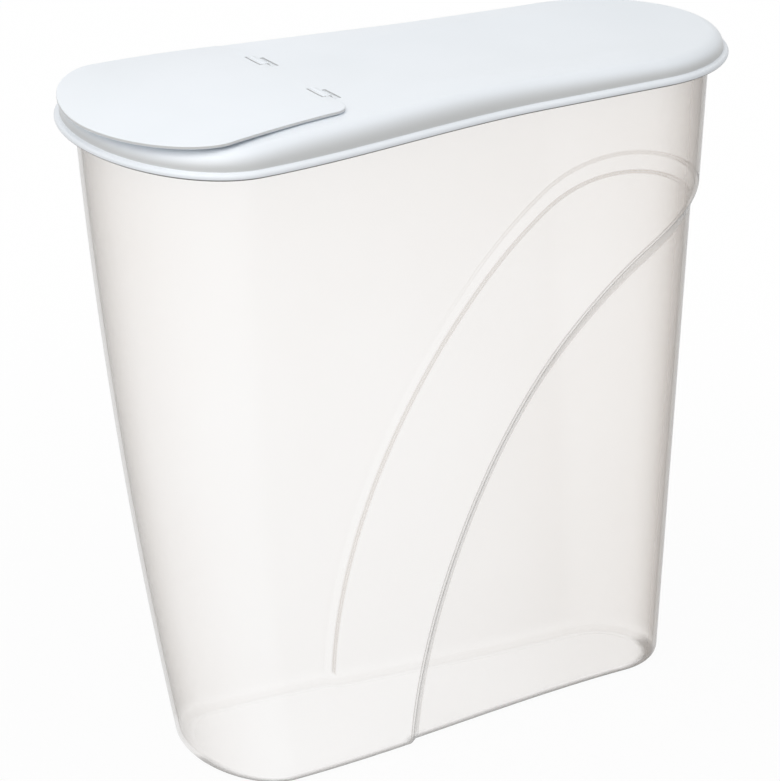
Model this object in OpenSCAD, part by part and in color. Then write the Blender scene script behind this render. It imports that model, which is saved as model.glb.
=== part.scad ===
// Cereal keeper with a flip-up spout cover
// The origin is the middle of the bottom of the bounding box.
// +X runs from the spout to the rear, +Z is up.

/* [What to show] */

// Which piece is drawn

/* [Lid outline] */

// Length of the lid over its bead
lid_length = 290; // [280:1:300]
// Width of the lid over its bead at the spout end
spout_width = 130.4; // [124:0.2:136]
// Width of the lid over its bead at the rear end
rear_width = 104.4; // [98:0.2:110]
// Length of the rounded nose at the spout end
spout_nose = 42.8; // [38:0.2:48]
// Length of the rounded nose at the rear end
rear_nose = 54.6; // [50:0.2:58]
// Length over which the sides draw in behind the spout nose
waist_length = 134.8; // [110:0.2:160]
// Distance of the lid centre behind the origin
lid_offset = 0.3;

/* [Container] */

// Height of the lower edge of the lid bead above the table
bead_z = 269.5; // [250:0.5:290]
// Distance from the lid bead in to the container wall
wall_inset = 7.9; // [7.8:0.1:8.2]
// Wall thickness of the container
wall = 1.6; // [1.4:0.1:1.8]
// Draft of the spout end from top to base
draft_spout = 35.6; // [30:0.1:38]
// Draft of the rear end from top to base
draft_rear = 11.8; // [8:0.1:14]
// Draft of each side at the spout end
draft_side_spout = 16.9; // [12:0.1:18]
// Draft of each side at the rear end
draft_side_rear = 16.3; // [12:0.1:18]
// How far the spout wall bulges out of a straight line
bow = 4.3; // [0:0.1:6]
// Radius of the edge between the walls and the base
base_radius = 5; // [3:0.5:7]
// Height of the foot ring under the base
foot = 1; // [0.6:0.1:1.4]

/* [Swoosh recess] */

// Depth of the recess in the sides and the rear
recess_depth = 2.8; // [1.5:0.1:3]
// Width of the sloping step around the recess on the sides
step_width = 3.9; // [3:0.1:5]
// Width of that step at the rear
step_width_rear = 7; // [5:0.1:9]
// Reach of the recess forward from the rear end, at the base
recess_length = 165; // [140:1:180]
// Height of the recess at the rear
recess_height = 218; // [190:1:230]
// Exponent of the curve, 2 is an ellipse and 1 a straight line
recess_power = 1.7; // [1.5:0.1:2.2]

/* [Lid section] */

// Height of the lid from the bead edge to its shoulder, where the deck neither rises nor falls
lid_height = 10.2; // [10.2:0.1:11]
// How far the deck rises above that at the hinge
hump = 2.3; // [2:0.1:2.3]
// How far it falls below that at the spout tip
spout_drop = 1; // [0:0.1:1]
// How far it falls below that near the rear tip
rear_drop = 0.5; // [0:0.1:0.6]
// Set-back of the lid wall from its bead
lid_wall_inset = 2.2; // [2:0.1:2.4]
// Radius of the lid shoulder
shoulder = 6.3; // [6:0.1:6.5]
// Thickness of the lid
lid_skin = 1.7; // [1.6:0.1:1.8]
// Depth of the dish behind the cover
dish_depth = 1.5; // [0:0.1:2]
// Length of the dish
dish_length = 176; // [150:1:180]
// Width of the dish
dish_width = 70; // [50:1:72]

/* [Spout cover] */

// Thickness of the cover plate
cover_thick = 1.4; // [1.3:0.1:1.5]
// Height of the top of the cover above the shoulder of the lid
cover_rise = 4.6; // [4.6:0.1:5]
// Radius of the long curve of the cover, which droops to the nose
cover_curve = 780; // [770:10:900]
// Width of the cover where its nose begins
cover_width = 112.4; // [108:0.2:113]
// Width of the cover at its hinge edge
cover_rear_width = 97.6; // [92:0.2:98]
// Length of the cover nose
cover_nose = 33.4; // [32:0.1:34]
// Exponent of the nose curve, 2 is an ellipse
cover_power = 1.85; // [1.8:0.05:2]
// Radius of the two corners at the hinge edge
cover_corner = 8; // [6:0.5:9]
// Width of the pour opening
pour_width = 87; // [70:1:90]
// Length of the nose of the pour opening
pour_nose = 33; // [26:0.5:33.5]

/* [Hinge] */

// Distance of each hinge from the middle plane
hinge_y = 24; // [20:0.5:28]
// Radius of the two pins moulded on the cover
pin_r = 0.95; // [0.9:0.05:1]
// Width of each clip on the lid
clip_width = 11.6; // [8:0.1:11.8]
// Width of each notch in the cover
notch_width = 12.4; // [12.4:0.1:14]
// Depth of each notch, forward of the pin
notch_depth = 2.7; // [2.7:0.1:4]
// Reach of each clip forward of the pin
clip_front = 2.1; // [1.8:0.1:2.1]
// Reach of each clip behind the pin, at its sloping foot
clip_rear = 5.6; // [4:0.1:5.8]

/* [Hidden] */

// fits and gaps
pin_play = 0.05;
rim_gap = 0.3;
skirt = 1.6;

// a plan is [spout axis, rear axis, spout half width, rear half width,
// waist length, spout nose, rear nose], all measured from the lid centre
lid_plan = [
    lid_length / 2 - spout_nose,
    lid_length / 2 - rear_nose,
    spout_width / 2,
    rear_width / 2,
    waist_length,
    spout_nose,
    rear_nose
];

function inset(p, i) = [p[0], p[1], p[2] - i, p[3] - i, p[4], p[5] - i, p[6] - i];

wall_plan = inset(lid_plan, wall_inset);

base_half_spout = wall_plan[2] - draft_side_spout;
base_half_rear = wall_plan[3] - draft_side_rear;
base_nose_spout = base_half_spout * spout_nose / (spout_width / 2);
base_nose_rear = base_half_rear * rear_nose / (rear_width / 2);
base_spout = lid_length / 2 - wall_inset - draft_spout - base_nose_spout;
base_rear = lid_length / 2 - wall_inset - draft_rear - base_nose_rear;

base_plan = [
    base_spout,
    base_rear,
    base_half_spout,
    base_half_rear,
    base_spout + base_rear,
    base_nose_spout,
    base_nose_rear
];

// the walls are straight between these two heights
draft_z0 = 3;
draft_z1 = bead_z;

function rise(z) = min(1, max(0, (z - draft_z0) / (draft_z1 - draft_z0)));

function plan_at(z) =
    let (s = rise(z))
    [for (i = [0:6])
        base_plan[i] * (1 - s) + wall_plan[i] * s + (i == 0 ? bow * 4 * s * (1 - s) : 0)];

// share of the half outline taken by the spout nose, and where the rear nose starts
u_spout = 0.24;
u_rear = 0.72;

// half width at x, with a smooth S between the two half widths
function half_width(p, x) =
    let (t = min(1, max(0, (x + p[0]) / p[4])))
    p[3] + (p[2] - p[3]) * pow(1 - t, 2) * (1 + 2 * t);

// point of the half outline, u runs from the spout tip to the rear tip
function on_plan(p, u) =
    u <= u_spout
        ? let (a = 90 * u / u_spout) [-p[0] - p[5] * cos(a), p[2] * sin(a)]
    : u >= u_rear
        ? let (a = 90 * (u - u_rear) / (1 - u_rear)) [p[1] + p[6] * sin(a), p[3] * cos(a)]
    : let (x = -p[0] + (p[0] + p[1]) * (u - u_spout) / (u_rear - u_spout))
        [x, half_width(p, x)];

function u_at(p, x) =
    x <= -p[0]
        ? u_spout * acos(min(1, (-p[0] - x) / p[5])) / 90
    : x >= p[1]
        ? u_rear + (1 - u_rear) * asin(min(1, (x - p[1]) / p[6])) / 90
    : u_spout + (u_rear - u_spout) * (x + p[0]) / (p[0] + p[1]);

// both halves of a ring, spout tip first, then the -Y side, rear tip and +Y side
function both_sides(half) =
    let (n = len(half) - 1)
    concat(
        [for (i = [0:n]) [half[i][0] + lid_offset, -half[i][1], half[i][2]]],
        [for (i = [n - 1:-1:1]) [half[i][0] + lid_offset, half[i][1], half[i][2]]]
    );

// the two triangles of a quad, split along one diagonal or the other
function split(a, b, c, d, first) =
    first ? [[a, b, d], [b, c, d]] : [[a, b, c], [a, c, d]];

// closed skin over a list of equal rings, with both end rings filled across
module skin(rings) {
    n = len(rings[0]);
    h = n / 2;
    m = len(rings);
    sides = [for (j = [0:m - 2]) for (i = [0:n - 1]) each
        let (
            k = (i + 1) % n,
            a = j * n
        )
        split(a + i, a + k, a + n + k, a + n + i, i < h)];
    low = [for (i = [0:h - 1]) each (
        i == 0 ? [[0, n - 1, 1]]
        : i == h - 1 ? [[h - 1, h + 1, h]]
        : [[i, n - i, i + 1], [i + 1, n - i, n - i - 1]]
    )];
    k = (m - 1) * n;
    high = [for (i = [0:h - 1]) each (
        i == 0 ? [[k, k + 1, k + n - 1]]
        : i == h - 1 ? [[k + h - 1, k + h, k + h + 1]]
        : [[k + i, k + i + 1, k + n - i], [k + i + 1, k + n - i - 1, k + n - i]]
    )];
    polyhedron(points = [for (r = rings) each r], faces = concat(sides, low, high), convexity = 10);
}

// forward edge of the recess is a curve from the base up and back to the rear
recess_x = 146.3;

function step_x(z) =
    recess_x - recess_length
        * pow(max(0, 1 - pow(max(0, z) / recess_height, recess_power)), 1 / recess_power);

function along(x) = max(0, (recess_x - x) / recess_length);

function step_slope(x, z) =
    recess_power * norm([
        pow(along(x), recess_power - 1) / recess_length,
        pow(max(0, z) / recess_height, recess_power - 1) / recess_height
    ]);

function step_dist(x, z) =
    (1 - pow(along(x), recess_power) - pow(max(0, z) / recess_height, recess_power))
        / max(0.002, step_slope(x, z));

// the step widens towards the rear
widen_x0 = 38.7;
widen_x1 = 138.7;

function step_run(x) =
    let (t = min(1, max(0, (x - widen_x0) / (widen_x1 - widen_x0))))
    step_width + (step_width_rear - step_width) * t;

function recess(x, z) = recess_depth * min(1, max(0, step_dist(x, z) / step_run(x)));

// x of the foot of the step at one height
function foot_x(z) =
    let (
        x = step_x(z),
        g = step_slope(x, z),
        gx = recess_power * pow(along(x), recess_power - 1) / recess_length
    )
    x + step_run(x) * g / max(gx, g * 0.12);

// u values of a half ring, crowded to the two edges of the step, even round the spout nose
nose_steps = 10;
side_steps = 8;
rear_steps = 12;
u_step = 0.8;
u_lid = 0.72;
u_gap = 0.04;

function half_u(a, b) = concat(
    [for (i = [0:nose_steps - 1]) u_spout * i / nose_steps],
    [for (i = [0:side_steps]) u_spout + (a - u_spout) * i / side_steps],
    [(a + b) / 2],
    [for (i = [0:rear_steps]) b + (1 - b) * i / rear_steps]
);

// above the recess the crowded place moves forward to where the lid has it
function ring_u(z) =
    let (
        p = plan_at(z),
        t = min(1, max(0, (z - recess_height) / (bead_z - recess_height))),
        top = u_step + (u_lid - u_step) * t,
        a = z < recess_height ? min(u_step, u_at(p, step_x(z) - lid_offset)) : top,
        b = z < recess_height ? u_at(p, foot_x(z) - lid_offset) : top + u_gap
    )
    half_u(a, max(a + 0.01, min(a + 0.3, min(top + u_gap, b))));

function wall_point(z, u, i) =
    let (
        p = plan_at(z),
        q = on_plan(p, u),
        d = recess(q[0] + lid_offset, z)
    )
    concat(on_plan(inset(p, i + d), u), z);

function wall_ring(z, i) = both_sides([for (u = ring_u(z)) wall_point(z, u, i)]);

// the same ring at another height, for rounded lower edges
function edge_ring(z_plan, z, i) =
    both_sides([for (u = ring_u(z_plan)) let (q = wall_point(z_plan, u, i)) [q[0], q[1], z]]);

// heights of the rings, closest together where the top of the recess runs round the rear
low_levels = 12;
mid_levels = 14;
top_levels = 5;
mid_z0 = 195;
mid_z1 = 222;

wall_levels = concat(
    [for (i = [1:low_levels]) base_radius + i * (mid_z0 - base_radius) / low_levels],
    [for (i = [1:mid_levels]) mid_z0 + i * (mid_z1 - mid_z0) / mid_levels],
    [for (i = [1:top_levels]) mid_z1 + i * (bead_z - mid_z1) / top_levels]
);

// inside floor, rim top and lower edge of the rim's turned-down lip
floor_z = 2.8;
inner_radius = 2;
rim_z = bead_z + lid_height - spout_drop - lid_skin - rim_gap;
lip_z = bead_z + 2.3;

// the rim stands out from the wall and turns down
rim_out = 2.5;
rim_skin = 1.2;
rim_under = rim_z - 1.7;

function rim_ring(i, z) = edge_ring(bead_z, z, i);

module container_body() {
    color([0.93, 0.92, 0.91, 0.5])
    skin(concat(
        [edge_ring(0, foot, base_radius + 4)],
        [edge_ring(0, 0, base_radius + 3)],
        [for (a = [0:30:90])
            edge_ring(base_radius, base_radius * (1 - cos(a)), base_radius * (1 - sin(a)))],
        [for (z = wall_levels) wall_ring(z, 0)],
        [
            rim_ring(0, rim_under),
            rim_ring(rim_skin - rim_out, rim_under - 0.2),
            rim_ring(rim_skin - rim_out, lip_z),
            rim_ring(-rim_out, lip_z),
            rim_ring(-rim_out, rim_z - 2.3),
            rim_ring(1 - rim_out, rim_z - 0.7),
            rim_ring(2.2 - rim_out, rim_z),
            rim_ring(wall, rim_z)
        ],
        [for (i = [len(wall_levels) - 1:-1:0]) wall_ring(wall_levels[i], wall)],
        [for (a = [90:-30:0])
            edge_ring(floor_z + inner_radius, floor_z + inner_radius * (1 - cos(a)),
                wall + inner_radius * (1 - sin(a)))]
    ));
}

// the lid shell

deck_z = bead_z + lid_height;
shoulder_i = lid_wall_inset + shoulder;
shoulder_z = deck_z - shoulder;

// the deck rises from the spout to the hinge, stays level and falls to the rear
rise_x0 = lid_offset - lid_length / 2;
rise_x1 = -71;
rise_x2 = -21;
rise_x3 = 114;

function ease(t) = (1 - cos(180 * min(1, max(0, t)))) / 2;

function deck_rise(x) =
    x < rise_x1
        ? (hump + spout_drop) * ease((x - rise_x0) / (rise_x1 - rise_x0)) - spout_drop
    : hump - (hump + rear_drop) * ease((x - rise_x2) / (rise_x3 - rise_x2));

// it is also slightly crowned from side to side
crown = 0.2;
crown_width = 12;

function crowned(i) = 1 + crown * (1 - pow(1 - min(1, max(0, (i - shoulder_i) / crown_width)), 2));

dish_x = 47.3;

function dish(x, y) =
    dish_depth * max(0, 1 - pow((x - dish_x) / (dish_length / 2), 2) - pow(y / (dish_width / 2), 2));

// ring of the lid at one inset and height, share is how much of the deck's rise it takes
function lid_half(i, z, share, dished) =
    [for (u = half_u(u_lid, u_lid + u_gap))
        let (
            q = on_plan(inset(lid_plan, i), u),
            x = q[0] + lid_offset
        )
        [q[0], q[1], z + share * deck_rise(x) - (dished ? dish(x, q[1]) : 0)]];

function lid_ring(i, z, share = 0) = both_sides(lid_half(i, z, share, false));
function deck_ring(i, z) = both_sides(lid_half(i, z, crowned(i), true));

deck_insets = [38, 33, 28, 24, 20, 17, 14, 11.4];

// ridge that snaps under the rim, and the sealing ring inside the rim
bead_r = 1.45;
ridge = 0.7;
seal_wall = 1.3;
seal_z = bead_z + 1.2;
inner_i = lid_wall_inset + skirt;
seal_i = wall_inset + wall + 0.4;

// profile from the deck round the bead to the sealing ring, as [inset, height, share of rise]
skirt_profile = concat(
    [for (a = [90:-15:0])
        [shoulder_i - shoulder * cos(a), shoulder_z + shoulder * sin(a), sin(a)]],
    [
        [lid_wall_inset, bead_z + 2 * bead_r + 0.6, 0],
        [lid_wall_inset - 0.2, bead_z + 2 * bead_r + 0.15, 0]
    ],
    [for (a = [90:-30:-90])
        [bead_r * (1 - cos(a)), bead_z + bead_r * (1 + sin(a)), 0]],
    [
        [inner_i, bead_z, 0],
        [inner_i, bead_z + 0.5, 0],
        [inner_i + ridge, bead_z + 0.9, 0],
        [inner_i + ridge, bead_z + 1.3, 0],
        [inner_i, bead_z + 1.9, 0]
    ],
    [for (a = [0:30:90])
        [
            shoulder_i - (shoulder - skirt) * cos(a),
            shoulder_z + (shoulder - skirt) * sin(a),
            sin(a)
        ]],
    [
        [seal_i, deck_z - lid_skin, 1],
        [seal_i + 0.6, seal_z, 0],
        [seal_i + 0.5 + seal_wall, seal_z, 0],
        [seal_i + seal_wall, deck_z - lid_skin, 1]
    ]
);

// cover and pour opening share one kind of outline: a nose and two straight sides

cover_x = -111.9;
axis_x = -53.5;

// points of the nose, from the +Y side round to the -Y side
function nose(x0, length, half, power) =
    [for (a = [90:5:270])
        let (c = cos(a), s = sin(a))
        [
            x0 - length * pow(abs(c), 2 / power),
            half * sign(s) * pow(abs(s), 2 / power)
        ]];

// quarter round corner at the rear, sign is the side it is on
function corner(x1, y1, r, side) =
    [for (a = [0:15:90])
        let (b = side < 0 ? a : 90 - a)
        [x1 - r + r * sin(b), side * (y1 - r + r * cos(b))]];

function d_outline(x0, length, half, power, x1, half1, r, i) = concat(
    nose(x0, length - i, half - i, power),
    corner(x1 - i, half1 - i, max(r - i, 1), -1),
    corner(x1 - i, half1 - i, max(r - i, 1), 1)
);

function cover_outline(i) =
    d_outline(cover_x, cover_nose, cover_width / 2, cover_power, axis_x,
        cover_rear_width / 2, cover_corner, i);

pour_x = -101.3;
pour_x1 = -63.3;
pour_corner = 8;

function pour_outline(i) =
    d_outline(pour_x, pour_nose, pour_width / 2, 2, pour_x1, pour_width / 2 - 5, pour_corner, i);

// the cover is a slice of a wide shallow cylinder that lies across the lid
curve_x = -67.3;
cover_z = deck_z + cover_rise;
axis_z = cover_z - cover_curve - cover_thick / 2
    + sqrt(pow(cover_curve, 2) - pow(axis_x - curve_x, 2));
lip_gap = 0.4;
spout_lip = 1.8;

module along_y(x, y, z, r, length, facets = 48) {
    translate([x, y, z])
    rotate([90, 0, 0])
    cylinder(h = length, r = r, center = true, $fn = facets);
}

// everything that lies deeper than this below the top of the cover
module below_cover(depth) {
    along_y(curve_x, 0, cover_z - cover_curve, cover_curve - depth, 2 * cover_width, 1440);
}

// clip that stands up in a notch of the cover and holds its pin from both sides,
// with a mouth narrower than the pin, in a shallow pocket of the deck
clip_top = 0.72;
clip_arm = 1.5;
pocket_gap = 0.4;

module clip(y) {
    translate([axis_x, y, axis_z])
    difference() {
        rotate([90, 0, 0])
        linear_extrude(height = clip_width, center = true)
        polygon([
            [-clip_front, -2.4],
            [clip_rear, -2.4],
            [clip_rear, -1.3],
            [clip_arm + 1.4, -1],
            [clip_arm, clip_top],
            [-clip_front, clip_top]
        ]);
        along_y(0, 0, 0, pin_r + pin_play, clip_width + 2);
    }
}

module pocket(y) {
    length = clip_front + clip_rear + 2 * pocket_gap;
    width = clip_width + 2 * pocket_gap;
    translate([axis_x - clip_front - pocket_gap, y - width / 2, axis_z - 2])
    cube([length, width, 4]);
}

module lid() {
    color([0.93, 0.95, 0.97])
    union() {
        difference() {
            union() {
                skin(concat(
                    [for (i = deck_insets) deck_ring(i, deck_z)],
                    [for (q = skirt_profile) lid_ring(q[0], q[1], q[2])],
                    [for (k = [len(deck_insets) - 2:-1:0])
                        deck_ring(deck_insets[k], deck_z - lid_skin)]
                ));
                intersection() {
                    translate([0, 0, deck_z - lid_skin / 2])
                    linear_extrude(height = 10)
                    polygon(pour_outline(-spout_lip));
                    below_cover(cover_thick + lip_gap);
                }
            }
            translate([0, 0, deck_z - 5])
            linear_extrude(height = 15)
            polygon(pour_outline(0));
            for (side = [-1, 1])
                pocket(side * hinge_y);
        }
        for (side = [-1, 1])
            clip(side * hinge_y);
    }
}

plug_gap = 0.5;
plug_wall = 1.4;
plug_z = deck_z - 2;
edge = 0.35;

// plate of the cover, drawn in and set in from both faces by the same amount
module plate(i, depth) {
    difference() {
        intersection() {
            translate([0, 0, deck_z - 5])
            linear_extrude(height = 20)
            polygon(cover_outline(i));
            below_cover(depth);
        }
        below_cover(cover_thick - depth);
    }
}

module spout_cover() {
    color([0.95, 0.96, 0.98])
    union() {
        difference() {
            union() {
                plate(0, edge);
                plate(edge, 0);
                along_y(axis_x, 0, axis_z, cover_thick / 2, cover_rear_width - 2 * cover_corner);
            }
            for (side = [-1, 1])
                translate([axis_x - notch_depth, side * hinge_y - notch_width / 2, axis_z - 3])
                cube([notch_depth + 3, notch_width, 6]);
        }
        for (side = [-1, 1])
            along_y(axis_x, side * hinge_y, axis_z, pin_r, notch_width + 1);
        difference() {
            intersection() {
                translate([0, 0, plug_z])
                linear_extrude(height = 10)
                polygon(pour_outline(plug_gap));
                below_cover(cover_thick / 2);
            }
            translate([0, 0, plug_z - 1])
            linear_extrude(height = 15)
            polygon(pour_outline(plug_gap + plug_wall));
        }
    }
}

container_body();
lid();
spout_cover();
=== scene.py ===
import math

import bmesh
import bpy
import numpy as np
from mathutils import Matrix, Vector


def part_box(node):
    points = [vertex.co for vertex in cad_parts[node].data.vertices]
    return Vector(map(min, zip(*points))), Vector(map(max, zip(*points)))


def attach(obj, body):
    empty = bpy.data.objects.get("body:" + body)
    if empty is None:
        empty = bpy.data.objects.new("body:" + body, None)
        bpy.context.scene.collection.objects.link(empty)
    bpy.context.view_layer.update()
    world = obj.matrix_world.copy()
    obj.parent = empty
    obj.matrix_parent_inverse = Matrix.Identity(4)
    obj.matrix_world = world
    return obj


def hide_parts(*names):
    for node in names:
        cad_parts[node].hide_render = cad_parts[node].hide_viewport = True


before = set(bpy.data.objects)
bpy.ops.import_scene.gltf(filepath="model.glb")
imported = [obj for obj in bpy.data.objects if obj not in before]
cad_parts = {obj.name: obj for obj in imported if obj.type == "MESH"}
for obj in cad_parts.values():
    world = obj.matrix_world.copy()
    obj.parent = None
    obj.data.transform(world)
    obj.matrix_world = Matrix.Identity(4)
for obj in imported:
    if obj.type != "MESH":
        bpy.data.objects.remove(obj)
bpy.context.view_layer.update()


# Container
# One injection moulding in natural polypropylene: a tall narrow tub that flares to the spout end,
# with a swoosh-shaped recess pressed into both sides and the rear. It stands on its foot ring.

# all sizes are in millimetres, from the middle of the underside
lid_low, lid_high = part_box("lid")
_, tub_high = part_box("container_body")
lid_length = 1000 * (lid_high.x - lid_low.x)
lid_middle = 500 * (lid_high.x + lid_low.x)
bead_edge = 1000 * lid_low.z
spout_width = 1000 * (lid_high.y - lid_low.y)
rear_width = 104.4
spout_nose = 42.8
rear_nose = 54.6
waist_length = 134.8

wall_inset = 7.9
wall = 1.6
draft_spout = 35.6
draft_rear = 11.8
draft_side_spout = 16.9
draft_side_rear = 16.3
bulge = 4.3
base_radius = 5.0
draft_from = 3.0

# outlines seen from above: axis of each nose, half widths, waist, nose lengths
lid_outline = np.array([
    lid_length / 2 - spout_nose,
    lid_length / 2 - rear_nose,
    spout_width / 2,
    rear_width / 2,
    waist_length,
    spout_nose,
    rear_nose,
])
shrink = np.array([0, 0, 1, 1, 0, 1, 1])
rim_outline = lid_outline - wall_inset * shrink

foot_half_spout = rim_outline[2] - draft_side_spout
foot_half_rear = rim_outline[3] - draft_side_rear
foot_nose_spout = foot_half_spout * 2 * spout_nose / spout_width
foot_nose_rear = foot_half_rear * 2 * rear_nose / rear_width
foot_spout = lid_length / 2 - wall_inset - draft_spout - foot_nose_spout
foot_rear = lid_length / 2 - wall_inset - draft_rear - foot_nose_rear
foot_outline = np.array([
    foot_spout,
    foot_rear,
    foot_half_spout,
    foot_half_rear,
    foot_spout + foot_rear,
    foot_nose_spout,
    foot_nose_rear,
])

# shares of a half outline that belong to the spout nose and, from the second on, to the rear
nose_share = 0.24
tail_share = 0.72


def tub_outline(z):
    s = min(1.0, max(0.0, (z - draft_from) / (bead_edge - draft_from)))
    plan = foot_outline * (1 - s) + rim_outline * s
    plan[0] += bulge * 4 * s * (1 - s)
    return plan


def half_line(plan, u):
    """Points of one half of an outline, u from 0 at the spout tip to 1 at the rear tip."""
    spout, rear, half_spout, half_rear, waist, nose, tail = plan
    a = np.clip(u / nose_share, 0, 1) * math.pi / 2
    b = np.clip((u - tail_share) / (1 - tail_share), 0, 1) * math.pi / 2
    x = -spout + (spout + rear) * np.clip((u - nose_share) / (tail_share - nose_share), 0, 1)
    t = np.clip((x + spout) / waist, 0, 1)
    y = half_rear + (half_spout - half_rear) * (1 - t) ** 2 * (1 + 2 * t)
    x = np.where(u < nose_share, -spout - nose * np.cos(a), x)
    y = np.where(u < nose_share, half_spout * np.sin(a), y)
    x = np.where(u > tail_share, rear + tail * np.sin(b), x)
    y = np.where(u > tail_share, half_rear * np.cos(b), y)
    return x, y


def share_at(plan, x):
    if x <= -plan[0]:
        return nose_share * math.acos(min(1, (-plan[0] - x) / plan[5])) / (math.pi / 2)
    if x >= plan[1]:
        side = math.asin(min(1, (x - plan[1]) / plan[6])) / (math.pi / 2)
        return tail_share + (1 - tail_share) * side
    return nose_share + (tail_share - nose_share) * (x + plan[0]) / (plan[0] + plan[1])


# the recess is bounded by a superellipse that runs up and back from the base
recess_depth = 2.8
recess_x = 146.3
recess_length = 165.0
recess_height = 218.0
recess_power = 1.7
ramp_side = 3.9
ramp_rear = 7.0
corner_blend = 0.16
widen_from = 38.7
widen_over = 100
least_slope = 0.002


def ramp_run(x):
    return ramp_side + (ramp_rear - ramp_side) * np.clip((x - widen_from) / widen_over, 0, 1)


def recess_share(x, z):
    """How far a point lies across the ramp of the recess, 0 at its outer corner, 1 at its foot."""
    along = np.maximum(0, (recess_x - x) / recess_length)
    up = max(0, z) / recess_height
    power = recess_power
    fall_x = along ** (power - 1) / recess_length
    fall_z = up ** (power - 1) / recess_height
    slope = power * np.hypot(fall_x, fall_z)
    return (1 - along ** power - up ** power) / np.maximum(least_slope, slope) / ramp_run(x)


def soft_ramp(t):
    """Ramp from 0 to 1 whose two corners are rounded."""
    e = corner_blend
    first = np.clip(t + e, 0, 2 * e) ** 2 / (4 * e)
    last = np.clip(1 + e - t, 0, 2 * e) ** 2 / (4 * e)
    return np.where(t < e, first, np.where(t > 1 - e, 1 - last, t))


clear_of_ramp = 0.8
smooth_wall = (0.80, 0.84)
wall_steps = (76, 20, 60)


def ramp_shares(z):
    """Positions round half the tub, closest together across the ramp of the recess."""
    plan = tub_outline(z)
    first, last = smooth_wall
    if z < recess_height:
        rest = max(0, 1 - (max(0, z) / recess_height) ** recess_power)
        edge = recess_x - recess_length * rest ** (1 / recess_power)
        foot = edge
        for _ in range(30):
            foot += (1 - recess_share(foot, z)) * ramp_side * 0.6
        first = min(first, share_at(plan, edge - lid_middle - clear_of_ramp))
        last = min(last, share_at(plan, foot - lid_middle + clear_of_ramp))
        last = max(first + 0.01, last)
    before, across, after = wall_steps
    return np.concatenate([
        np.linspace(0, first, before)[:-1],
        np.linspace(first, last, across),
        np.linspace(last, 1, after)[1:],
    ])


def both_halves(x, y, z):
    """Ring from the spout tip along the -Y side to the rear tip and back."""
    x, y, z = np.broadcast_arrays(x + lid_middle, y, z)
    near = np.stack([x, -y, z], 1)
    far = np.stack([x, y, z], 1)[-2:0:-1]
    return np.concatenate([near, far])


def tub_ring(plan_z, z, inward):
    u = ramp_shares(plan_z)
    plan = tub_outline(plan_z)
    x, _ = half_line(plan, u)
    pressed = recess_depth * soft_ramp(recess_share(x + lid_middle, plan_z))
    far_in = inward + pressed
    points = np.array([
        np.array(half_line(plan - i * shrink, np.array([one]))).ravel()
        for i, one in zip(far_in, u)
    ])
    return both_halves(points[:, 0], points[:, 1], z)


def arc(start, end, steps):
    return [math.radians(a) for a in np.linspace(start, end, steps)]


def skin(name, rings, loop=False):
    """Mesh over rings of equal length, in millimetres. A loop joins the last ring to the first."""
    size = len(rings[0])
    points = np.concatenate(rings) / 1000
    faces = []
    for j in range(len(rings) - (not loop)):
        a, b = j * size, (j + 1) % len(rings) * size
        faces += [(a + i, a + (i + 1) % size, b + (i + 1) % size, b + i) for i in range(size)]
    if not loop:
        faces.append(tuple(range(size - 1, -1, -1)))
        faces.append(tuple(range(len(points) - size, len(points))))
    mesh = bpy.data.meshes.new(name)
    mesh.from_pydata(points.tolist(), [], faces)
    return mesh


def smooth(mesh, degrees=38):
    mesh.shade_smooth()
    mesh.set_sharp_from_angle(angle=math.radians(degrees))
    return mesh


def place(name, mesh):
    piece = bpy.data.objects.new(name, mesh)
    bpy.context.scene.collection.objects.link(piece)
    return piece


rim_top = 1000 * tub_high.z
rim_lip = bead_edge + 2.3
rim_out = 2.5
rim_skin = 1.2
rim_round = 2.2
rim_under = rim_top - 1.7
floor_top = 2.8
floor_radius = 2.0
foot_height = 1.0
foot_in = base_radius + 2.6

# the wall's rings stand closest together where the recess turns over at its top
turn_low, turn_high = 195, 222
levels = np.concatenate([
    np.linspace(base_radius, turn_low, 62)[1:],
    np.linspace(turn_low, turn_high, 40)[1:],
    np.linspace(turn_high, bead_edge, 10)[1:],
])


def rim_ring(inward, z):
    return tub_ring(bead_edge, z, inward)


rings = [
    tub_ring(0, foot_height, foot_in + 1.7),
    tub_ring(0, foot_height, foot_in + 1.4),
    tub_ring(0, foot_height * 0.35, foot_in + 0.8),
    tub_ring(0, 0, foot_in),
]
underside_rings = len(rings)
rings += [
    tub_ring(base_radius, base_radius * (1 - math.cos(a)), base_radius * (1 - math.sin(a)))
    for a in arc(0, 90, 9)
]
rings += [tub_ring(z, z, 0) for z in levels]
rings += [
    rim_ring(0, rim_under - 0.4),
    rim_ring(-0.4, rim_under),
    rim_ring(rim_skin - rim_out + 0.3, rim_under),
    rim_ring(rim_skin - rim_out, rim_under - 0.3),
    rim_ring(rim_skin - rim_out, rim_lip + 0.2),
    rim_ring(rim_skin / 2 - rim_out, rim_lip),
    rim_ring(-rim_out, rim_lip + 0.2),
]
rings += [
    rim_ring(rim_round * (1 - math.cos(a)) - rim_out, rim_top - rim_round * (1 - math.sin(a)))
    for a in arc(0, 90, 7)
]
rings += [
    rim_ring(wall - 0.4, rim_top),
    rim_ring(wall, rim_top - 0.4),
]
outer_rings = len(rings)
rings += [tub_ring(z, z, wall) for z in levels[::-1]]
rings += [
    tub_ring(
        floor_top + floor_radius,
        floor_top + floor_radius * (1 - math.sin(a)),
        wall + floor_radius * (1 - math.cos(a)),
    )
    for a in arc(0, 90, 7)
]

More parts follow.
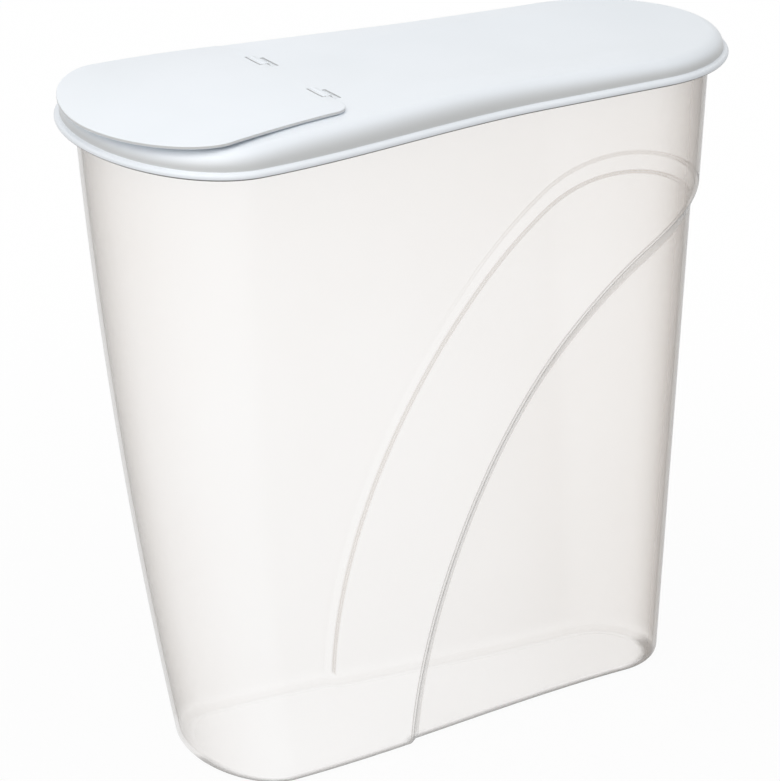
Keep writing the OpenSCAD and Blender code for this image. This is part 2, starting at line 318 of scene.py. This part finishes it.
# marks the skin of the wall: -1 on the underside, 0 outside, 1 inside
tub_mesh = smooth(skin("tub", rings))
ring_number = np.arange(len(tub_mesh.vertices)) // len(rings[0])
zone = np.where(ring_number < underside_rings, -1.0, np.where(ring_number < outer_rings, 0.0, 1.0))
tub_mesh.attributes.new("side", "FLOAT", "POINT").data.foreach_set("value", zone)
tub = place("tub", tub_mesh)


class Value:
    """A socket in a material. Sums, products and powers of values add Math nodes."""

    def __init__(self, tree, socket=None):
        self.tree = tree
        self.socket = socket

    def node(self, kind, settings=None, sockets=None, out=0):
        made = self.tree.nodes.new("ShaderNode" + kind)
        for name, value in (settings or {}).items():
            if name == "stops":
                ramp = made.color_ramp
                while len(ramp.elements) < len(value):
                    ramp.elements.new(0.5)
                for stop, (place_at, colour) in zip(ramp.elements, value):
                    stop.position = place_at
                    stop.color = (*colour, 1)
            else:
                setattr(made, name, value)
        for name, value in (sockets or {}).items():
            if isinstance(value, Value):
                self.tree.links.new(value.socket, made.inputs[name])
            else:
                made.inputs[name].default_value = value
        return Value(self.tree, made.outputs[out] if made.outputs else None)

    def math(self, operation, *values, clamp=False):
        sockets = dict(enumerate(values))
        return self.node("Math", {"operation": operation, "use_clamp": clamp}, sockets)

    def __add__(self, other):
        return self.math("ADD", self, other)

    __radd__ = __add__

    def __sub__(self, other):
        return self.math("SUBTRACT", self, other)

    def __rsub__(self, other):
        return self.math("SUBTRACT", other, self)

    def __mul__(self, other):
        return self.math("MULTIPLY", self, other)

    __rmul__ = __mul__

    def __truediv__(self, other):
        return self.math("DIVIDE", self, other)

    def __rtruediv__(self, other):
        return self.math("DIVIDE", other, self)

    def __pow__(self, other):
        return self.math("POWER", self, other)

    def at_least(self, other):
        return self.math("MAXIMUM", self, other)

    def clamped(self):
        return self.math("ADD", self, 0.0, clamp=True)

    def bell(self, width):
        """1 where the value is 0, falling off over the width on both sides."""
        share = self / width
        return self.math("EXPONENT", 0 - share * share)

    def between(self, low, high):
        """0 below low, 1 above high and smooth between."""
        sockets = {"Value": self, "From Min": low, "From Max": high}
        return self.node("MapRange", {"interpolation_type": "SMOOTHSTEP"}, sockets)

    def colours(self, first, second):
        """Colour that goes from first to second with this value."""
        ends = [end if isinstance(end, Value) else (*end, 1) for end in (first, second)]
        sockets = {0: self.clamped(), 6: ends[0], 7: ends[1]}
        return self.node("Mix", {"data_type": "RGBA"}, sockets, out=2)


def new_finish(name):
    finish = bpy.data.materials.new(name)
    finish.use_nodes = True
    finish.node_tree.nodes.clear()
    return finish, Value(finish.node_tree)


def where(start):
    """Position on the object in millimetres."""
    spot = start.node("TexCoord", out=3)
    spot = start.node("VectorMath", {"operation": "SCALE"}, {0: spot, "Scale": 1000.0})
    x = start.node("SeparateXYZ", sockets={0: spot}, out=0)
    y = start.node("SeparateXYZ", sockets={0: spot}, out=1)
    z = start.node("SeparateXYZ", sockets={0: spot}, out=2)
    return spot, x, y, z


# natural polypropylene: milky and clear enough to show the far wall, with a soft gloss
clear_plastic, start = new_finish("natural_polypropylene")
spot, x, y, z = where(start)

along = ((recess_x - x) / recess_length).at_least(0.0001)
up = (z / recess_height).at_least(0.0001)
fall_x = along ** (recess_power - 1) / recess_length
fall_z = up ** (recess_power - 1) / recess_height
slope = recess_power * (fall_x * fall_x + fall_z * fall_z) ** 0.5
past_edge = (1 - along ** recess_power - up ** recess_power) / slope.at_least(least_slope)
run = ramp_side + (ramp_rear - ramp_side) * ((x - widen_from) / widen_over).clamped()

# painted shade: dark lines along the outer corner and the foot of the recess step, where the clear
# wall bends the light; the far step is seen through the wall, so its outer corner's line shows
# only near the top of the recess
far_side = y.between(-5.0, 5.0)
near_weight = 0.45 * (1 - far_side)
far_weight = (0.03 + 0.2 * x.between(30.0, 100.0)) * far_side
outer_corner_shade = past_edge.bell(0.42) * (near_weight + far_weight)
foot_corner_shade = (past_edge - run).bell(0.45) * (0.14 + 0.20 * far_side)
pressed_in = past_edge.between(0.0, ramp_side) * (1 - far_side)
tub_wall = z.between(floor_top, floor_top + floor_radius)

grazing = start.node("LayerWeight", sockets={"Blend": 0.5}, out=1)
side = start.node("Attribute", {"attribute_name": "side"}, out=2)
inner_skin = side.clamped()
outer_skin = 1 - side.math("ABSOLUTE", side)
cloud = start.node("TexNoise", sockets={"Vector": spot, "Scale": 0.02, "Detail": 3.0})
# painted shade: these masks make the tub denser and darker towards the rear and the top, as if
# less light reached there
rear_shade = x.between(10.0, 150.0)
top_shade = z.between(140.0, 260.0)

# the outer skin darkens softly towards the silhouette, the inner one in a narrow line; the skins
# grow denser there as the wall is seen at a slant, the outer one more towards the rear as painted
# shade
thin_rim = 1 - 0.6 * grazing.between(0.72, 0.98)
far_foot = far_side * (1 - z.between(1.0, 8.0))
outer_haze = (0.52 + 0.3 * rear_shade) * grazing ** 1.8 * thin_rim * (1 - 0.75 * far_foot)
inner_haze = (0.2 * grazing ** 2.0 + 0.45 * grazing ** 9.0) * tub_wall
# painted shade: a dark line along the base of the near side, where the tub meets the table
base_contact_shade = (1 - z.between(0.8, 2.2)) * outer_skin * (1 - 0.9 * far_side)
haze = outer_skin * outer_haze + inner_skin * inner_haze

density = 0.018 + 0.025 * top_shade + 0.045 * rear_shade + haze
density = density + (outer_corner_shade + foot_corner_shade) * tub_wall
density = density + 0.02 * pressed_in * tub_wall + 0.45 * base_contact_shade
density = density + 0.02 * (cloud - 0.5)
# painted shade: the milky colour turns to a painted grey towards the silhouette, along the corner
# lines of the recess step and along the base
dark_share = grazing ** 1.5 + 1.2 * (outer_corner_shade + foot_corner_shade) + base_contact_shade
warm_milky = (1.0, 0.84, 0.70)
edge_shade_grey = (0.36, 0.36, 0.36)
shade = dark_share.colours(warm_milky, edge_shade_grey)

orange_peel = start.node("TexNoise", sockets={"Vector": spot, "Scale": 0.45, "Detail": 2.0})
ripple = start.node("Bump", sockets={"Strength": 0.06, "Distance": 0.0004, "Height": orange_peel})
tub_surface = start.node("BsdfPrincipled", sockets={
    "Base Color": shade,
    "Roughness": 0.3,
    "IOR": 1.49,
    "Specular IOR Level": 0.25,
    "Alpha": density.clamped(),
    "Normal": ripple,
})
start.node("OutputMaterial", sockets={"Surface": tub_surface})

tub.data.materials.append(clear_plastic)
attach(tub, "container")
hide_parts("container_body")


# Lid
# One injection moulding in white polypropylene, pressed over the rim of the container. Its deck
# has the pour opening with a raised lip, a long shallow dish behind it and two open hinge clips.

deck = bead_edge + 10.2
lid_wall = 2.2
shoulder = 6.3
lid_skin = 1.7
bead_round = 1.45
skirt = 1.6

# the deck rises to the hinge, drops to the spout tip and to the rear, and is crowned
hump = 2.3
spout_drop = 1.0
rear_drop = 0.5
rise_line = (lid_middle - lid_length / 2, -71.0, -21.0, 114.0)
crown = 0.2
crown_width = 12.0
shoulder_in = lid_wall + shoulder
shoulder_low = deck - shoulder

dish_depth = 1.5
dish_x = 47.3
dish_length = 176.0
dish_width = 70.0

opening_x = -101.3
opening_nose = 33.0
opening_width = 87.0
opening_end = -63.3
opening_lip = 1.8
lip_gap = 0.4

# the spout cover above is a slice of a wide shallow cylinder that lies across the lid
pin = 0.95
cover_thick = 1.4
cover_curve = 780.0
curve_x = -67.3
hinge_x = -53.5
cover_top = deck + 4.6
hinge_drop = cover_curve - math.sqrt(cover_curve ** 2 - (hinge_x - curve_x) ** 2)
hinge_z = cover_top - hinge_drop - cover_thick / 2


def ease(t):
    return (1 - np.cos(math.pi * np.clip(t, 0, 1))) / 2


def deck_rise(x):
    tip, front, back, end = rise_line
    forward = (hump + spout_drop) * ease((x - tip) / (front - tip)) - spout_drop
    backward = hump - (hump + rear_drop) * ease((x - back) / (end - back))
    return np.where(x < front, forward, backward)


deepest_inset = 42.0


def inset_at(x, y):
    """How far inside the lid's outline a point lies."""
    spout, rear, half_spout, half_rear, waist, nose, tail = lid_outline
    x, y = x - lid_middle, np.abs(y)
    t = np.clip((x + spout) / waist, 0, 1)
    side = half_rear + (half_spout - half_rear) * (1 - t) ** 2 * (1 + 2 * t) - y
    low, high = np.zeros_like(side), np.full_like(side, deepest_inset)
    for _ in range(30):
        middle = (low + high) / 2
        front = ((x + spout) / (nose - middle)) ** 2 + (y / (half_spout - middle)) ** 2
        back = ((x - rear) / (tail - middle)) ** 2 + (y / (half_rear - middle)) ** 2
        within = np.where(x < -spout, front, back) < 1
        low, high = np.where(within, middle, low), np.where(within, high, middle)
    return np.where((x < -spout) | (x > rear), low, side)


def deck_height(x, y):
    share = np.clip((inset_at(x, y) - shoulder_in) / crown_width, 0, 1)
    sag = 1 - ((x - dish_x) / (dish_length / 2)) ** 2 - (y / (dish_width / 2)) ** 2
    raised = deck_rise(x) * (1 + crown * (1 - (1 - share) ** 2))
    return deck + raised - dish_depth * np.clip(sag, 0, None)


def cover_face(x, depth):
    """Height of the cover's face, or of a layer below it."""
    radius = cover_curve - depth
    return cover_top - cover_curve + np.sqrt(radius ** 2 - (x - curve_x) ** 2)


lid_share = np.concatenate([
    np.linspace(0, nose_share, 44)[:-1],
    np.linspace(nose_share, tail_share, 70),
    np.linspace(tail_share, 1, 52)[1:],
])


def lid_ring(inward, z, rise=0.0):
    px, py = half_line(lid_outline - inward * shrink, lid_share)
    return both_halves(px, py, z + rise * deck_rise(px + lid_middle))


def rounded_d(nose_x, nose, half, end_x, end_half, radius, inward=0.0, power=2.0):
    """Half of a D-shaped outline, from its nose to the middle of its straight edge."""
    a = np.linspace(0, math.pi / 2, 60)
    front_x = nose_x - (nose - inward) * np.cos(a) ** (2 / power)
    front_y = (half - inward) * np.sin(a) ** (2 / power)
    r = max(radius - inward, 1)
    b = np.linspace(0, math.pi / 2, 16)
    back_x = end_x - inward - r + r * np.sin(b)
    back_y = end_half - inward - r + r * np.cos(b)
    return (
        np.concatenate([front_x, back_x, [end_x - inward]]),
        np.concatenate([front_y, back_y, [0]]),
    )


def spaced(line, shares):
    """Points at given shares of the length of a line."""
    px, py = line
    run = np.concatenate([[0], np.cumsum(np.hypot(np.diff(px), np.diff(py)))])
    at = shares * run[-1]
    return np.interp(at, run, px), np.interp(at, run, py)


# each point round the lid has its partner round the opening, so that the deck fans out
fan = np.interp(lid_share, [0, nose_share, 0.36, 0.5, 1], [0, 0.45, 0.70, 0.82, 1])


def opening_ring(inward, z, shares=fan):
    half = opening_width / 2
    line = rounded_d(opening_x, opening_nose, half, opening_end, half - 5, 8, inward)
    px, py = spaced(line, shares)
    return both_halves(px - lid_middle, py, z)


def lip_ring(inward, drop):
    """Ring on the lip, which follows the cover's face or the deck, whichever is higher."""
    ring = opening_ring(inward, deck)
    lip = cover_face(ring[:, 0], cover_thick + lip_gap) - drop
    ring[:, 2] = np.maximum(lip, deck_height(ring[:, 0], ring[:, 1]))
    return ring


def deck_rings(drop, inner, outer, steps):
    rings = [inner * (1 - f) + outer * f for f in np.linspace(0, 1, steps)]
    for ring in rings:
        ring[:, 2] = deck_height(ring[:, 0], ring[:, 1]) - drop
    return rings


seal_low = bead_edge + 1.2
seal = wall_inset + wall + 0.4
inside = lid_wall + skirt
bead_top = bead_edge + 2 * bead_round

rings = [
    lip_ring(0, 0.3),
    lip_ring(-0.1, 0.08),
    lip_ring(-0.3, 0),
    lip_ring(-opening_lip + 0.3, 0),
    lip_ring(-opening_lip + 0.08, 0.1),
    lip_ring(-opening_lip, 0.3),
]
rings += deck_rings(0, opening_ring(-opening_lip - 0.1, deck), lid_ring(shoulder_in, deck), 48)
rings += [
    lid_ring(
        shoulder_in - shoulder * math.sin(a),
        shoulder_low + shoulder * math.cos(a),
        math.cos(a),
    )
    for a in arc(5, 90, 18)
]
fillet = 0.5
rings += [
    lid_ring(lid_wall - fillet * (1 - math.cos(a)), bead_top + fillet * (1 - math.sin(a)))
    for a in arc(0, 80, 5)
]
rings += [
    lid_ring(bead_round * (1 - math.cos(a)), bead_edge + bead_round * (1 + math.sin(a)))
    for a in arc(80, -90, 16)
]
rings += [
    lid_ring(inside - 0.2, bead_edge),
    lid_ring(inside, bead_edge + 0.2),
    lid_ring(inside, bead_edge + 0.5),
    lid_ring(inside + 0.6, bead_edge + 0.9),
    lid_ring(inside + 0.7, bead_edge + 1.1),
    lid_ring(inside + 0.6, bead_edge + 1.3),
    lid_ring(inside, bead_edge + 1.9),
]
under_round = shoulder - skirt
rings += [
    lid_ring(
        shoulder_in - under_round * math.cos(a),
        shoulder_low + under_round * math.sin(a),
        math.sin(a),
    )
    for a in arc(0, 90, 7)
]
rings += [
    lid_ring(seal, deck - lid_skin, 1),
    lid_ring(seal + 0.6, seal_low + 0.2),
    lid_ring(seal + 0.9, seal_low),
    lid_ring(seal + 1.5, seal_low),
    lid_ring(seal + 1.8, seal_low + 0.2),
    lid_ring(seal + 1.3, deck - lid_skin, 1),
]
under_deck = deck_rings(lid_skin, opening_ring(0, deck), lid_ring(seal + 1.3, deck), 30)
rings += under_deck[::-1][1:]
lid_mesh = skin("lid", rings, loop=True)


def prism(line, y0, y1, edge):
    """Solid drawn from the side and pushed along Y, with its edges rounded."""
    made = bmesh.new()
    corners = [made.verts.new((px, y0, pz)) for px, pz in line]
    face = made.faces.new(corners)
    pushed = bmesh.ops.extrude_face_region(made, geom=[face])
    moved = [v for v in pushed["geom"] if isinstance(v, bmesh.types.BMVert)]
    bmesh.ops.translate(made, verts=moved, vec=(0, y1 - y0, 0))
    bmesh.ops.recalc_face_normals(made, faces=made.faces)
    sharp = [e for e in made.edges if e.calc_face_angle(0) > math.radians(40)]
    bmesh.ops.bevel(made, geom=sharp, offset=edge, segments=2, profile=0.5, affect="EDGES")
    return made


def add_part(mesh, part, shift):
    """Adds a loose part, in millimetres, to a mesh in metres."""
    whole = bmesh.new()
    whole.from_mesh(mesh)
    copy = {v: whole.verts.new((v.co + shift) / 1000) for v in part.verts}
    for face in part.faces:
        whole.faces.new([copy[v] for v in face.verts])
    whole.to_mesh(mesh)
    whole.free()


# each hinge clip stands in a shallow pocket: two arms and a sloping foot, drawn from the side
hinge_y = 24.0
clip_width = 11.6
clip_front = 2.1
clip_rear = 5.6
clip_arm = 1.5
clip_top = 0.72
clip_foot = -1.3
clip_root = -2.4
bore = pin + 0.05
pocket_gap = 0.4
pocket_floor = -2.0
mouth = math.degrees(math.asin(clip_top / bore))

clip_line = [
    (-clip_front, clip_root),
    (clip_rear, clip_root),
    (clip_rear, clip_foot),
    (clip_arm + 1.4, -1.0),
    (clip_arm, clip_top),
]
clip_line += [(bore * math.cos(a), bore * math.sin(a)) for a in arc(mouth, -180 - mouth, 34)]
clip_line += [(-clip_front, clip_top)]

pocket_mesh = bpy.data.meshes.new("pockets")
clips_mesh = bpy.data.meshes.new("clips")
at_hinge = Vector((hinge_x, 0, hinge_z))
for side in (-1, 1):
    y0 = side * hinge_y - clip_width / 2
    y1 = side * hinge_y + clip_width / 2
    front = -clip_front - pocket_gap
    back = clip_rear + pocket_gap
    box_line = [(front, pocket_floor), (back, pocket_floor), (back, 3), (front, 3)]
    add_part(pocket_mesh, prism(box_line, y0 - pocket_gap, y1 + pocket_gap, 0.2), at_hinge)
    add_part(clips_mesh, prism(clip_line, y0, y1, 0.16), at_hinge)

lid = place("lid_shell", lid_mesh)
pockets = place("pockets", pocket_mesh)
cut = lid.modifiers.new("pockets", "BOOLEAN")
cut.operation = "DIFFERENCE"
cut.object = pockets
cut.solver = "EXACT"
evaluated = lid.evaluated_get(bpy.context.evaluated_depsgraph_get())
lid.data = bpy.data.meshes.new_from_object(evaluated)
lid.modifiers.clear()
bpy.data.objects.remove(pockets)
clips = bmesh.new()
clips.from_mesh(clips_mesh)
bmesh.ops.scale(clips, vec=(1000, 1000, 1000), verts=clips.verts)
add_part(lid.data, clips, Vector((0, 0, 0)))
smooth(lid.data, 42)

# white polypropylene: a cool white with a satin gloss and a faint moulded ripple
white_plastic, start = new_finish("white_polypropylene")
spot, x, y, z = where(start)
cloud = start.node("TexNoise", sockets={"Vector": spot, "Scale": 0.015, "Detail": 2.0})
grain = start.node("TexNoise", sockets={"Vector": spot, "Scale": 0.35, "Detail": 3.0})
fine = start.node("TexNoise", sockets={"Vector": spot, "Scale": 4.0, "Detail": 2.0})
# painted shade: the deck's white darkens towards the rear, as if less light fell there; the cloud
# gives a random tone
rear_shade = x.between(50.0, 145.0)
plain = (cloud - 0.5 * rear_shade).colours((0.83, 0.87, 0.91), (0.91, 0.945, 0.99))
turned = start.node("TexCoord", out=1)
upright = start.node("SeparateXYZ", sockets={0: turned}, out=2)
level_face = upright.math("ABSOLUTE", upright).between(0.0, 0.78)

# painted shade: the steep shoulder is painted a neutral grey, where less light falls on it, and
# the bead is painted dark below, as the shadow where it meets the tub
shoulder_shade = (0.63, 0.64, 0.64)
bead_shadow = (0.10, 0.10, 0.09)
shaded = (1 - level_face) * z.between(bead_edge + 2.2, bead_edge + 3.4)
under_bead_shadow = 1 - z.between(bead_edge + 0.5, bead_edge + 1.05)
white = under_bead_shadow.colours(shaded.colours(plain, shoulder_shade), bead_shadow)
ripple = start.node("Bump", sockets={
    "Strength": 0.08,
    "Distance": 0.0003,
    "Height": grain + 0.12 * fine,
})
lid_surface = start.node("BsdfPrincipled", sockets={
    "Base Color": white,
    "Roughness": 0.3 + 0.08 * fine,
    "IOR": 1.49,
    "Normal": ripple,
})
start.node("OutputMaterial", sockets={"Surface": lid_surface})
lid.data.materials.append(white_plastic)
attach(lid, "lid")
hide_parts("lid")


# Spout cover
# One thin injection moulding in white polypropylene, curved along its length, with a rounded nose
# that stands out over the lid. Two pins across its notches snap into the lid's clips.

cover_x = -111.9
cover_nose = 33.4
cover_width = 112.4
cover_rear = 97.6
cover_power = 1.85
cover_corner = 8.0
cover_round = 0.4
notch_width = 12.4
notch_front = hinge_x - 2.7
plug_gap = 0.5
plug_wall = 1.4
plug_low = deck - 2.0

line_x, line_y = rounded_d(
    cover_x, cover_nose, cover_width / 2, hinge_x, cover_rear / 2, cover_corner,
    power=cover_power,
)
line_x, line_y = line_x[:-1], line_y[:-1]
near_half = list(zip(line_x, -line_y))
notches = []
for middle in (-hinge_y, hinge_y):
    low_side = middle - notch_width / 2
    high_side = middle + notch_width / 2
    notches += [
        (hinge_x, low_side), (notch_front, low_side),
        (notch_front, high_side), (hinge_x, high_side),
    ]
far_half = list(zip(line_x, line_y))[:0:-1]
cover_line = near_half + notches + far_half

made = bmesh.new()
corners = [made.verts.new((px, py, -cover_thick)) for px, py in cover_line]
face = made.faces.new(corners)
pushed = bmesh.ops.extrude_face_region(made, geom=[face])
moved = [v for v in pushed["geom"] if isinstance(v, bmesh.types.BMVert)]
bmesh.ops.translate(made, verts=moved, vec=(0, 0, cover_thick))
bmesh.ops.recalc_face_normals(made, faces=made.faces)
rim_edges = [e for e in made.edges if abs(e.verts[0].co.z - e.verts[1].co.z) < 0.01]
bmesh.ops.bevel(made, geom=rim_edges, offset=cover_round, segments=4, profile=0.5, affect="EDGES")

# cut across into narrow strips, which then follow the long curve
for cut_x in np.arange(cover_x - cover_nose + 2, hinge_x, 3.0):
    whole = made.verts[:] + made.edges[:] + made.faces[:]
    bmesh.ops.bisect_plane(made, geom=whole, plane_co=(cut_x, 0, 0), plane_no=(1, 0, 0))
for v in made.verts:
    v.co.z += cover_face(v.co.x, 0)
cover_mesh = bpy.data.meshes.new("spout_cover_plate")
add_part(cover_mesh, made, Vector((0, 0, 0)))

# rounded hinge edge, which crosses the two notches as pins
barrel = bmesh.new()
edge_round = cover_thick / 2 - 0.02
barrel_half = cover_rear / 2 - cover_corner
pin_out = hinge_y + notch_width / 2 + 0.4
pin_in = hinge_y - notch_width / 2 - 0.4
half_stations = [
    (pin_in - 0.02, edge_round), (pin_in, pin), (pin_out, pin),
    (pin_out + 0.02, edge_round), (barrel_half, edge_round), (barrel_half + 0.8, 0.3),
]
stations = [(-py, radius) for py, radius in half_stations[::-1]] + half_stations
round_steps = 32
loops = []
for py, radius in stations:
    loops.append([
        barrel.verts.new((radius * math.cos(a), py, radius * math.sin(a)))
        for a in arc(0, 360 - 360 / round_steps, round_steps)
    ])
for one, two in zip(loops, loops[1:]):
    for i in range(round_steps):
        j = (i + 1) % round_steps
        barrel.faces.new([one[i], one[j], two[j], two[i]])
barrel.faces.new(loops[0][::-1])
barrel.faces.new(loops[-1])
bmesh.ops.recalc_face_normals(barrel, faces=barrel.faces)
add_part(cover_mesh, barrel, at_hinge)

# ring that plugs the pour opening
even = np.linspace(0, 1, 90)


def plug_ring(inward, z=None):
    """Ring of the plug at one height, or inside the plate of the cover."""
    ring = opening_ring(plug_gap + inward, z or 0, even)
    if z is None:
        ring[:, 2] = cover_face(ring[:, 0], cover_thick - 0.3)
    return ring


plug_rings = [
    plug_ring(0),
    plug_ring(0, plug_low + 0.3),
    plug_ring(0.1, plug_low + 0.1),
    plug_ring(0.35, plug_low),
    plug_ring(plug_wall - 0.35, plug_low),
    plug_ring(plug_wall - 0.1, plug_low + 0.1),
    plug_ring(plug_wall, plug_low + 0.3),
    plug_ring(plug_wall),
]
plug = bmesh.new()
plug.from_mesh(skin("plug", plug_rings, loop=True))
bmesh.ops.scale(plug, vec=(1000, 1000, 1000), verts=plug.verts)
add_part(cover_mesh, plug, Vector((0, 0, 0)))

cover = place("cover_flap", smooth(cover_mesh, 42))
cover.data.materials.append(white_plastic)
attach(cover, "spout_cover")
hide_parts("spout_cover")


# Studio
# A plain white table and backdrop, a cool soft light above, a warmer one from the front left,
# and the camera where the photograph was taken.

floor_mesh = bpy.data.meshes.new("table")
reach = 6.0
floor_mesh.from_pydata(
    [(-reach, -reach, 0), (reach, -reach, 0), (reach, reach, 0), (-reach, reach, 0)],
    [],
    [(0, 1, 2, 3)],
)
floor = place("table", floor_mesh)
table_white, start = new_finish("table_white")


def seen_by_camera(start):
    """1 for rays that come from the camera, straight, by a gloss or through clear plastic."""
    straight = start.node("LightPath", out=0)
    glossy = start.node("LightPath", out=3)
    through = start.node("LightPath", out=6)
    return straight.math("MAXIMUM", straight.math("MAXIMUM", straight, glossy), through)


seen = seen_by_camera(start)
matt = start.node("BsdfDiffuse", sockets={"Color": (0.8, 0.8, 0.8, 1)})
glow = start.node("Emission", sockets={"Color": (1, 1, 1, 1), "Strength": 1.0})
spot = start.node("TexCoord", out=3)
far_away = start.node("VectorMath", {"operation": "LENGTH"}, {0: spot}, out=1).between(0.1, 0.6)
table_surface = start.node("MixShader", sockets={
    0: (0.95 + 0.045 * far_away) * seen,
    1: matt,
    2: glow,
})
start.node("OutputMaterial", sockets={"Surface": table_surface})
floor_mesh.materials.append(table_white)

world = bpy.data.worlds.new("backdrop")
bpy.context.scene.world = world
world.use_nodes = True
world.node_tree.nodes.clear()
start = Value(world.node_tree)
seen = seen_by_camera(start)
level = 0.5
backdrop = start.node("Background", sockets={
    "Color": (1, 1, 1, 1),
    "Strength": level + (1 - level) * seen,
})
start.node("OutputWorld", sockets={"Surface": backdrop})


def soft_box(name, size, power, tint, position, target):
    data = bpy.data.lights.new(name, "AREA")
    data.shape = "SQUARE"
    data.size = size
    data.energy = power
    data.color = tint
    lamp = bpy.data.objects.new(name, data)
    bpy.context.scene.collection.objects.link(lamp)
    lamp.location = position
    lamp.rotation_mode = "QUATERNION"
    lamp.rotation_quaternion = (Vector(target) - Vector(position)).to_track_quat("-Z", "Y")


tub_centre = (0, 0, 0.2)
cool_white = (0.93, 0.97, 1.0)
warm_white = (1.0, 0.975, 0.95)
soft_box("overhead_light", 1.3, 4.6, cool_white, (-0.35, -0.2, 1.45), tub_centre)
soft_box("front_left_light", 1.2, 6.2, warm_white, (-0.7, -0.5, 1.15), tub_centre)

eye = Vector((-0.8452, -1.3689, 0.7857))
ahead = Vector((0.48462, 0.79172, -0.37192))
photo_width = 780
focal_pixels = 4258.06
camera_data = bpy.data.cameras.new("camera")
camera_data.sensor_fit = "HORIZONTAL"
camera_data.lens = camera_data.sensor_width * focal_pixels / photo_width
camera = bpy.data.objects.new("camera", camera_data)
bpy.context.scene.collection.objects.link(camera)
camera.location = eye
camera.rotation_mode = "QUATERNION"
camera.rotation_quaternion = ahead.to_track_quat("-Z", "Y")
bpy.context.scene.camera = camera

view = bpy.context.scene.view_settings
view.view_transform = "Standard"
